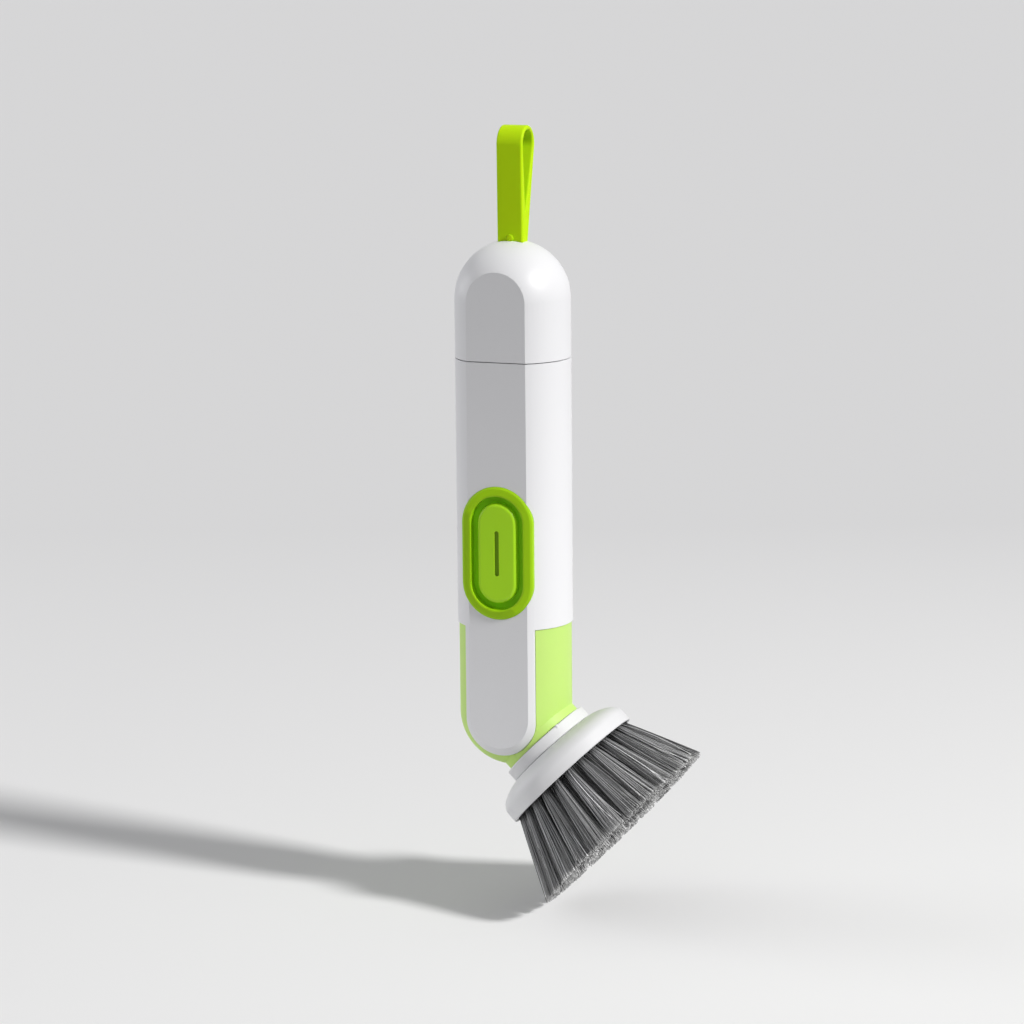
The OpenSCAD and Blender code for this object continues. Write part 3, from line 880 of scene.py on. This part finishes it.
@dataclass
class BrushPlate:
    """The white plate that holds the bristles.

    Attributes:
        place: Place of the bottom dome's centre in millimetres.
        tilt: Angle between the handle and the head in degrees.
        spigot: Radius and top height of the spigot.
        groove: Radius and heights of the sealing ring's groove.
        collar: Radius, upper and lower height of the collar.
        back: Radius of the back's curve, with its centre's radius and height.
        rim: Radius, height of its upper edge, and height of its lower edge.
        wall: Inner radius of the rim's lip.
        face: Height of the face that the bristles stand on.
        channel: Radius of the soap channel.
        valve: Radius and upper height of the valve's seat.
        shoulder: Width of the rounding between back and rim.
        nub: Radius and height of the index nub on the collar.
        nub_sunk: How far the nub's axis lies inside the collar's wall.
        spigot_edge: Width of the bevel at the spigot's end.
        collar_edge: Radius of the collar's rounded edges.
        rim_edge: Width of the bevel at the rim's lower edge.
        back_start: How far inside the collar's wall the back starts.
        steps: Number of facets round the plate.
    """

    place: tuple[float, float, float] = (-21.1384, 0.0, 63.7044)
    tilt: float = 45.0
    spigot: tuple[float, float] = (8.0, 7.0831)
    groove: tuple[float, float, float] = (6.4, 9.0481, 10.9681)
    collar: tuple[float, float, float] = (15.9, 13.7331, 17.7331)
    back: tuple[float, float, float] = (15.9, 13.8552, 33.5011)
    rim: tuple[float, float, float] = (24.8, 21.9676, 27.2676)
    wall: float = 23.6
    face: float = 26.0676
    channel: float = 2.5
    valve: tuple[float, float] = (4.5, 23.0676)
    shoulder: float = 1.9
    nub: tuple[float, float] = (0.7, 1.0)
    nub_sunk: float = 0.4
    spigot_edge: float = 0.3
    collar_edge: float = 0.5
    rim_edge: float = 0.2
    back_start: float = 0.26
    steps: int = 160

    def _back_height(self, away: float) -> float:
        """Finds the height of the rounded back at a distance from the axis.

        Args:
            away: Distance from the axis in millimetres.

        Returns:
            The height in millimetres.
        """
        radius, centre, height = self.back
        return height - math.sqrt(radius**2 - (away - centre) ** 2)

    def _profile(self) -> list[tuple[float, float]]:
        """Lists the points of the plate's half section.

        Returns:
            Distance from the axis and height of each point, once round the section.
        """
        outer, top, bottom = self.collar
        wide, end, round_r = self.spigot[0], self.spigot[1], self.collar_edge
        reach, crest, low = self.rim
        inner = reach - self.shoulder
        points = [(self.channel, end), (wide - self.spigot_edge, end)]
        points += [(wide, end + self.spigot_edge), (wide, self.groove[1])]
        points += [(self.groove[0], self.groove[1]), (self.groove[0], self.groove[2])]
        points += [(wide, self.groove[2]), (wide, top)]
        for centre, first, count in ((top + round_r, -90, 5), (bottom - round_r, 0, 4)):
            turns = [math.radians(first + 22.5 * i) for i in range(count)]
            middle = outer - round_r
            points += [(middle + round_r * math.cos(t), centre + round_r * math.sin(t)) for t in turns]
        start = outer - self.back_start
        places = [start + (inner - start) * i / 14 for i in range(15)]
        points += [(away, self._back_height(away)) for away in places]
        first, last = (inner, self._back_height(inner)), (reach, crest + self.shoulder)
        for i in range(1, 7):
            t = i / 6
            corners = zip(first, (reach, crest), last)
            points.append(tuple((1 - t) ** 2 * a + 2 * t * (1 - t) * b + t * t * c for a, b, c in corners))
        points += [(reach, low - self.rim_edge), (reach - self.rim_edge, low)]
        points += [(self.wall, low), (self.wall, self.face)]
        points += [(self.valve[0], self.face), self.valve, (self.channel, self.valve[1])]
        return points

    def _on_head(self, obj: bpy.types.Object) -> None:
        """Puts a piece that was modelled upright onto the head's tilted axis.

        Args:
            obj: The piece.
        """
        sine, cosine = math.sin(math.radians(self.tilt)), math.cos(math.radians(self.tilt))
        for vertex in obj.data.vertices:
            x, y, z = vertex.co
            vertex.co = Vector(self.place) * MM + Vector((sine * z - cosine * x, y, -sine * x - cosine * z))

    def _nub(self) -> bpy.types.Object:
        """Models the half-round index nub on the collar's upper edge, in front at the handle's side.

        Returns:
            The nub.
        """
        radius, depth = self.nub
        away = (self.collar[0] - self.nub_sunk) * math.sqrt(0.5)
        bpy.ops.object.select_all(action="DESELECT")
        bpy.ops.mesh.primitive_cylinder_add(
            vertices=32, radius=radius * MM, depth=depth * MM,
            location=(-away * MM, -away * MM, (self.collar[1] + depth / 2) * MM),
        )
        nub = bpy.context.object
        bpy.ops.object.transform_apply(location=True, rotation=True, scale=True)
        return nub

    def build(self, finishes: Finishes) -> None:
        """Spins the plate from its half section.

        Args:
            finishes: The wand's finishes.
        """
        profile = self._profile()
        bpy.ops.object.select_all(action="DESELECT")
        bpy.ops.mesh.primitive_circle_add(vertices=len(profile), radius=1, fill_type="NOTHING")
        piece = bpy.context.object
        piece.name = "brush_plate"
        for vertex, (away, height) in zip(piece.data.vertices, profile):
            vertex.co = (away * MM, 0.0, height * MM)
        bpy.ops.object.mode_set(mode="EDIT")
        bpy.ops.mesh.select_all(action="SELECT")
        bpy.ops.mesh.spin(steps=self.steps, angle=2 * math.pi, center=(0, 0, 0), axis=(0, 0, 1))
        bpy.ops.mesh.select_all(action="SELECT")
        bpy.ops.mesh.remove_doubles(threshold=0.000002)
        bpy.ops.mesh.normals_make_consistent(inside=False)
        bpy.ops.object.mode_set(mode="OBJECT")
        nub = self._nub()
        pick_only(piece)
        nub.select_set(True)
        bpy.ops.object.join()
        self._on_head(piece)
        settle_at_origin(piece)
        pick_only(piece)
        SoftEdge.shade(piece)
        dress(piece, finishes.head_white)
        finish_piece(piece, Body.HEAD, Slot.WHITE, "brush_base")


@dataclass(frozen=True)
class TuftRing:
    """One ring of tufts.

    Attributes:
        node: The CAD node that the ring stands for.
        count: Number of tufts.
        radius: Radius of the ring in millimetres.
        lean: Outward lean of its tufts in degrees.
        offset: Turn of the first tuft, in tufts.
        strands: Filaments in each tuft.
        seed: Seed of its random values.
    """

    node: str
    count: int
    radius: float
    lean: float
    offset: float
    strands: int
    seed: int


@dataclass
class Bristles:
    """Nylon filaments in the head, in head coordinates: +Z runs out along the head's axis.

    Attributes:
        place: Place of the bottom dome's centre in millimetres.
        tilt: Angle between the handle and the head in degrees.
        face: Height of the bristle face.
        tips: Height of the trimmed tips on the axis.
        slant: Slant of the trimmed tips in degrees.
        reach: Largest radius of the tips, halfway round.
        sway: How much farther they reach on the long side.
        root_r: Radius of a tuft at the plate.
        spread_r: Radius of a tuft at its tips, to the outside.
        spread_side: Its radius at the tips, along the ring.
        strand_r: Radius of one filament.
        sunk: How deep the filaments run into the plate.
        filled: Share of a tuft's radius that its filaments fill.
        lean_spread: Spread of the tufts' lean in degrees.
        twist_spread: Spread of the tufts' lean along the ring, as a slope.
        stray_share: Share of the filaments that stand out of their tuft.
        stray_more: How much farther these stand off.
        stray_short: How much shorter they can be.
        jitter: Spread of the tips' places.
        uneven: Spread of the tips' heights.
        bend: Spread of the filaments' bend.
        slim: Thinnest and thickest filament, as shares of strand_r.
        shade_spread: Spread of the filaments' shades.
        tuft_shade: Spread of the tufts' shades.
    """

    place: tuple[float, float, float] = (-21.1384, 0.0, 63.7044)
    tilt: float = 45.0
    face: float = 26.0676
    tips: float = 52.0676
    slant: float = 2.2
    reach: float = 35.8
    sway: float = 0.69
    root_r: float = 1.3
    spread_r: float = 2.9
    spread_side: float = 3.7
    strand_r: float = 0.14
    sunk: float = 1.5
    filled: float = 0.92
    lean_spread: float = 0.7
    twist_spread: float = 0.012
    stray_share: float = 0.04
    stray_more: float = 2.6
    stray_short: float = 2.0
    jitter: float = 0.28
    uneven: float = 0.25
    bend: float = 0.22
    slim: tuple[float, float] = (0.85, 1.12)
    shade_spread: float = 0.42
    tuft_shade: float = 0.1

    def rings(self) -> list[TuftRing]:
        """Gives the three rings of tufts."""
        return [
            TuftRing("tufts_outer", 26, 21.2, 23.0, 0.0, 105, 11),
            TuftRing("tufts_middle", 20, 16.0, 16.5, 0.5, 80, 12),
            TuftRing("tufts_inner", 13, 10.8, 10.0, 1.0, 64, 13),
        ]

    def _one_filament(self) -> tuple[np.ndarray, list[tuple[int, ...]]]:
        """Models one straight filament of unit length and unit radius.

        Returns:
            Its points, and its faces as tuples of point numbers.
        """
        bpy.ops.object.select_all(action="DESELECT")
        bpy.ops.mesh.primitive_cylinder_add(vertices=5, radius=1, depth=1, location=(0, 0, 0.5))
        rod = bpy.context.object
        settle_at_origin(rod)
        bpy.ops.object.mode_set(mode="EDIT")
        for height in (0.3, 0.55, 0.78, 0.95):
            bpy.ops.mesh.select_all(action="SELECT")
            bpy.ops.mesh.bisect(plane_co=(0, 0, height), plane_no=(0, 0, 1))
        bpy.ops.object.mode_set(mode="OBJECT")
        points = np.array([vertex.co for vertex in rod.data.vertices])
        faces = [tuple(face.vertices) for face in rod.data.polygons]
        bpy.data.objects.remove(rod)
        return points, faces

    def _strands(self, ring: TuftRing, rod: np.ndarray) -> tuple[np.ndarray, np.ndarray, np.ndarray]:
        """Places the filaments of one ring.

        Args:
            ring: The ring of tufts.
            rod: Points of the straight filament.

        Returns:
            All the points in head coordinates, their place along the filament, and their shade.
        """
        random = np.random.default_rng(ring.seed)
        total = ring.count * ring.strands
        tuft = np.repeat(np.arange(ring.count), ring.strands)
        phi = (tuft + ring.offset) * 2 * math.pi / ring.count
        lean = np.radians(ring.lean + random.normal(0, self.lean_spread, ring.count))[tuft]
        twist = random.normal(0, self.twist_spread, ring.count)[tuft]
        out = np.stack([np.cos(phi), np.sin(phi), np.zeros(total)], 1)
        side = np.stack([-np.sin(phi), np.cos(phi), np.zeros(total)], 1)
        line = out * np.sin(lean)[:, None] + side * twist[:, None]
        line[:, 2] = np.cos(lean)
        spot = np.sqrt(random.random(total)) * self.filled
        turn = random.random(total) * 2 * math.pi
        first = spot * np.cos(turn)
        second = spot * np.sin(turn)
        root = out * (ring.radius + self.root_r * first[:, None]) + side * (self.root_r * second[:, None])
        root[:, 2] = self.face
        root -= line * (self.sunk / line[:, 2])[:, None]
        stray = np.where(random.random(total) < self.stray_share, self.stray_more, 1.0)
        jitter = random.normal(0, self.jitter, (total, 2)) * stray[:, None]
        flare_a = self.spread_r * first * self.filled + jitter[:, 0]
        flare_b = self.spread_side * second + jitter[:, 1]
        slope = math.tan(math.radians(self.slant))
        highest = self.tips / math.cos(math.radians(self.slant))
        height = highest - np.abs(random.normal(0, self.uneven, total))
        height = height - (stray > 1) * random.random(total) * self.stray_short
        reach = (height - root[:, 2] + root[:, 0] * slope) / (line[:, 2] - line[:, 0] * slope)
        tip = root + line * reach[:, None]
        outward, sideways = flare_a - self.root_r * first, flare_b - self.root_r * second
        tip += out * outward[:, None] + side * sideways[:, None]
        radius = np.hypot(tip[:, 0], tip[:, 1])
        limit = self.reach + self.sway * tip[:, 0] / radius
        tip[:, :2] *= (np.minimum(radius, limit) / radius)[:, None]
        tip[:, 2] = height + tip[:, 0] * slope
        bend = random.normal(0, self.bend, (total, 2)) * stray[:, None]
        t = rod[:, 2]
        curve = (t * (1 - t) * 4)[None, :, None]
        ease = (t ** 1.25)[None, :, None]
        straight = t[None, :, None]
        way = root[:, None, :] + (tip - root)[:, None, :] * (0.3 * ease + 0.7 * straight)
        way = way + curve * (out * bend[:, :1] + side * bend[:, 1:])[:, None, :]
        slim = self.strand_r * random.uniform(*self.slim, total)[:, None]
        points = way + out[:, None, :] * (rod[:, 0][None, :] * slim)[:, :, None]
        points = points + side[:, None, :] * (rod[:, 1][None, :] * slim)[:, :, None]
        trim = highest + points[:, :, 0] * slope
        points[:, :, 2] = np.minimum(points[:, :, 2], trim)
        shade = np.clip(random.normal(1.0, self.shade_spread, total), 0.35, 2.3) + (stray > 1) * 1.3
        shade = shade * (1 + random.normal(0, self.tuft_shade, ring.count)[tuft])
        along = np.repeat(t[None, :], total, 0)
        return points.reshape(-1, 3), along.reshape(-1), np.repeat(shade, len(t))

    def build(self, finishes: Finishes) -> None:
        """Builds the three rings of filaments.

        Args:
            finishes: The wand's finishes.
        """
        rod, faces = self._one_filament()
        head = Matrix.Translation(Vector(self.place)) @ Matrix.Rotation(math.radians(180 - self.tilt), 4, "Y")
        turn = np.array(head)
        for ring in self.rings():
            points, along, shade = self._strands(ring, rod)
            world = (points @ turn[:3, :3].T + turn[:3, 3]) * MM
            world[:, 2] = np.maximum(world[:, 2], 0.0)
            mesh = bpy.data.meshes.new(ring.node + "_filaments")
            total = ring.count * ring.strands
            many = [tuple(i + k * len(rod) for i in face) for k in range(total) for face in faces]
            mesh.from_pydata(world.tolist(), [], many)
            for label, values in (("along", along), ("shade", shade)):
                layer = mesh.attributes.new(label, "FLOAT", "POINT")
                layer.data.foreach_set("value", values.astype(np.float32))
            piece = bpy.data.objects.new(ring.node + "_filaments", mesh)
            bpy.context.scene.collection.objects.link(piece)
            pick_only(piece)
            bpy.ops.object.shade_smooth_by_angle(angle=math.radians(80))
            dress(piece, finishes.bristle)
            finish_piece(piece, Body.HEAD, Slot.BRISTLE, ring.node)


@dataclass
class InnerWorks:
    """The pump, the tube, the seals and the wires, which keep their CAD shapes."""

    def dress(self, finishes: Finishes) -> None:
        """Gives each node its finish.

        Args:
            finishes: The wand's finishes.
        """
        choice = {
            finishes.rubber: ("cap_seal", "socket_seal", "tube_grommet"),
            finishes.clear: ("inlet_valve", "outlet_valve", "delivery_tube", "slit_valve"),
            finishes.white: ("pump_chamber", "head_socket"),
            finishes.groove: ("pump_membrane",),
            finishes.steel: ("return_spring",),
            finishes.brass: ("tuft_anchors",),
        }
        for finish, nodes in choice.items():
            for node in nodes:
                dress(bpy.data.objects[node], finish)
                LOG.info("%s keeps its CAD shape", node)


@dataclass
class Studio:
    """Pale floor, soft light and the photograph's camera.

    Attributes:
        eye: Place of the camera in millimetres.
        right: Direction of the image's right side.
        up: Direction of the image's top.
        field: Field of view in degrees.
        floor_size: Side of the floor in metres.
        floor_lift: Light that the floor adds where it is seen.
        ambient: Strength of the even light.
        key: Strength of the side light.
        fill: Strength of the wide light from the other side.
        backdrop: Strength of the even light where it is seen.
        view_turn: Turn of the camera's view round the handle in degrees.
        depth: Places behind the handle where the floor starts and ends darkening, in metres.
        breadth: Places beside it where the floor's left and right colours are reached, in metres.
        left_floor: Colour of the floor in front, on the left, darker than on the right as painted shade.
        right_floor: Colour of the floor in front, on the right.
        far_floor: Colour of the floor far behind, darker as painted shade.
        near_bounce: Colour of the light that the floor carries close to the wand.
        far_bounce: Colour of the light that it carries farther away.
        bounce_reach: Distances between which that light falls, in metres.
    """

    eye: tuple[float, float, float] = (412.674, -1143.496, 357.201)
    right: tuple[float, float, float] = (0.935294, 0.353757, -0.009023)
    up: tuple[float, float, float] = (-0.056851, 0.175377, 0.982859)
    field: float = 15.0
    floor_size: float = 24.0
    floor_lift: float = 0.05
    ambient: float = 0.31
    key: float = 3.1
    fill: float = 1.6
    backdrop: float = 0.68
    view_turn: float = 20.8
    depth: tuple[float, float] = (-0.1, 0.65)
    breadth: tuple[float, float] = (-0.18, 0.18)
    left_floor: Colour = (0.80, 0.80, 0.805)
    right_floor: Colour = (0.92, 0.92, 0.92)
    far_floor: Colour = (0.67, 0.67, 0.678)
    near_bounce: Colour = (0.92, 0.92, 0.925)
    far_bounce: Colour = (0.06, 0.06, 0.06)
    bounce_reach: tuple[float, float] = (0.1, 0.55)

    def build(self) -> None:
        """Builds the whole studio."""
        self._camera()
        self._floor()
        self._lights()
        bpy.context.scene.view_settings.view_transform = "Standard"

    def _camera(self) -> None:
        """Places the camera as the photograph was taken."""
        data = bpy.data.cameras.new("photo_camera")
        data.angle = math.radians(self.field)
        data.clip_start, data.clip_end = 0.05, 60.0
        camera = bpy.data.objects.new("photo_camera", data)
        bpy.context.scene.collection.objects.link(camera)
        right, up = Vector(self.right).normalized(), Vector(self.up).normalized()
        back = right.cross(up)
        turn = Matrix((right, up, back)).transposed().to_4x4()
        camera.matrix_world = Matrix.Translation(Vector(self.eye) * MM) @ turn
        bpy.context.scene.camera = camera

    def _floor(self) -> None:
        """Lays the pale floor, with painted shade that darkens it a little with distance and towards the
        left.
        """
        bpy.ops.object.select_all(action="DESELECT")
        bpy.ops.mesh.primitive_grid_add(x_subdivisions=8, y_subdivisions=8, size=self.floor_size)
        floor = bpy.context.object
        floor.name = "studio_floor"
        settle_at_origin(floor)
        material = bpy.data.materials.new("pale_floor")
        material.use_nodes = True
        nodes, links = material.node_tree.nodes, material.node_tree.links
        shader = nodes["Principled BSDF"]
        shader.inputs["Roughness"].default_value = 0.9
        shader.inputs["Specular IOR Level"].default_value = 0.0
        place = nodes.new("ShaderNodeTexCoord")
        turn = nodes.new("ShaderNodeMapping")
        turn.inputs["Rotation"].default_value = (0.0, 0.0, math.radians(-self.view_turn))
        parts = nodes.new("ShaderNodeSeparateXYZ")
        far = nodes.new("ShaderNodeMapRange")
        far.inputs["From Min"].default_value, far.inputs["From Max"].default_value = self.depth
        side = nodes.new("ShaderNodeMapRange")
        side.inputs["From Min"].default_value, side.inputs["From Max"].default_value = self.breadth
        # Painted shade: the floor is darker on the left and far behind.
        near = self._blend(material, side.outputs["Result"], self.left_floor, self.right_floor)
        tint = self._blend(material, far.outputs["Result"], near, self.far_floor)
        away = nodes.new("ShaderNodeVectorMath")
        away.operation = "LENGTH"
        spread = nodes.new("ShaderNodeMapRange")
        spread.inputs["From Min"].default_value, spread.inputs["From Max"].default_value = self.bounce_reach
        carried = self._blend(material, spread.outputs["Result"], self.near_bounce, self.far_bounce)
        seen = self._seen_directly(material)
        shown = self._blend(material, seen, carried, tint)
        lift = nodes.new("ShaderNodeMath")
        lift.operation = "MULTIPLY"
        lift.inputs[1].default_value = self.floor_lift
        shader.inputs["Emission Color"].default_value = (1.0, 1.0, 1.0, 1.0)
        links.new(seen, lift.inputs[0])
        links.new(lift.outputs[0], shader.inputs["Emission Strength"])
        links.new(place.outputs["Object"], turn.inputs["Vector"])
        links.new(turn.outputs["Vector"], parts.inputs["Vector"])
        links.new(parts.outputs["Y"], far.inputs["Value"])
        links.new(parts.outputs["X"], side.inputs["Value"])
        links.new(place.outputs["Object"], away.inputs[0])
        links.new(away.outputs["Value"], spread.inputs["Value"])
        links.new(shown, shader.inputs["Base Color"])
        dress(floor, material)

    @staticmethod
    def _blend(owner: Any, share: Any, first: Any, second: Any) -> Any:
        """Adds a colour mix.

        Args:
            owner: The material that gets the node.
            share: Socket that gives the second colour's share.
            first: A colour or a socket.
            second: A colour or a socket.

        Returns:
            The mixed colour's socket.
        """
        nodes, links = owner.node_tree.nodes, owner.node_tree.links
        made = nodes.new("ShaderNodeMix")
        made.data_type = "RGBA"
        links.new(share, made.inputs[0])
        for socket, value in ((made.inputs[6], first), (made.inputs[7], second)):
            if isinstance(value, tuple):
                socket.default_value = (*value, 1.0)
            else:
                links.new(value, socket)
        return made.outputs[2]

    @staticmethod
    def _seen_directly(owner: Any) -> Any:
        """Adds nodes that tell rays that show a surface from rays that only carry its light.

        Args:
            owner: The material or world that gets the nodes.

        Returns:
            A socket that is 1 for camera, glossy and transmission rays.
        """
        nodes, links = owner.node_tree.nodes, owner.node_tree.links
        path = nodes.new("ShaderNodeLightPath")
        seen = nodes.new("ShaderNodeMath")
        seen.operation = "MAXIMUM"
        more = nodes.new("ShaderNodeMath")
        more.operation = "MAXIMUM"
        links.new(path.outputs["Is Camera Ray"], seen.inputs[0])
        links.new(path.outputs["Is Glossy Ray"], seen.inputs[1])
        links.new(seen.outputs[0], more.inputs[0])
        links.new(path.outputs["Is Transmission Ray"], more.inputs[1])
        return more.outputs[0]

    @staticmethod
    def _sun(name: str, power: float, width: float, round_z: float, above: float, colour: Colour) -> None:
        """Adds one lamp that is far away.

        Args:
            name: Name of the lamp.
            power: Its strength.
            width: Angle that it fills in degrees.
            round_z: Its direction from +X round the handle in degrees.
            above: Its height above the floor in degrees.
            colour: Its colour.
        """
        data = bpy.data.lights.new(name, "SUN")
        data.energy = power
        data.angle = math.radians(width)
        data.color = colour
        lamp = bpy.data.objects.new(name, data)
        bpy.context.scene.collection.objects.link(lamp)
        turn, rise = math.radians(round_z), math.radians(above)
        toward = Vector((math.cos(turn) * math.cos(rise), math.sin(turn) * math.cos(rise), math.sin(rise)))
        lamp.rotation_euler = toward.to_track_quat("Z", "Y").to_euler()

    def _lights(self) -> None:
        """Adds the low side light, its wide counterpart and the even light of the room."""
        self._sun("side_light", self.key, 9.0, -10.0, 34.4, (1.0, 0.995, 0.98))
        self._sun("left_card", self.fill, 50.0, 184.0, 4.0, (0.98, 0.985, 1.0))
        world = bpy.data.worlds.new("room_light")
        bpy.context.scene.world = world
        world.use_nodes = True
        nodes, links = world.node_tree.nodes, world.node_tree.links
        sky = nodes["Background"]
        sky.inputs["Color"].default_value = (0.985, 0.985, 1.0, 1.0)
        level = nodes.new("ShaderNodeMapRange")
        level.inputs["To Min"].default_value = self.ambient
        level.inputs["To Max"].default_value = self.backdrop
        links.new(self._seen_directly(world), level.inputs["Value"])
        links.new(level.outputs["Result"], sky.inputs["Strength"])


def main() -> None:
    """Builds the wand's looks in order."""
    logging.basicConfig(level=logging.INFO, format="%(name)s: %(message)s")
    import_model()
    studio = Studio()
    studio.build()
    finishes = Finishes()
    HandleShells().build(finishes)
    HangingLoop().build(finishes)
    PumpButton().build(finishes)
    BrushPlate().build(finishes)
    Bristles().build(finishes)
    InnerWorks().dress(finishes)
    bpy.ops.object.select_all(action="DESELECT")


if __name__ == "__main__":
    main()
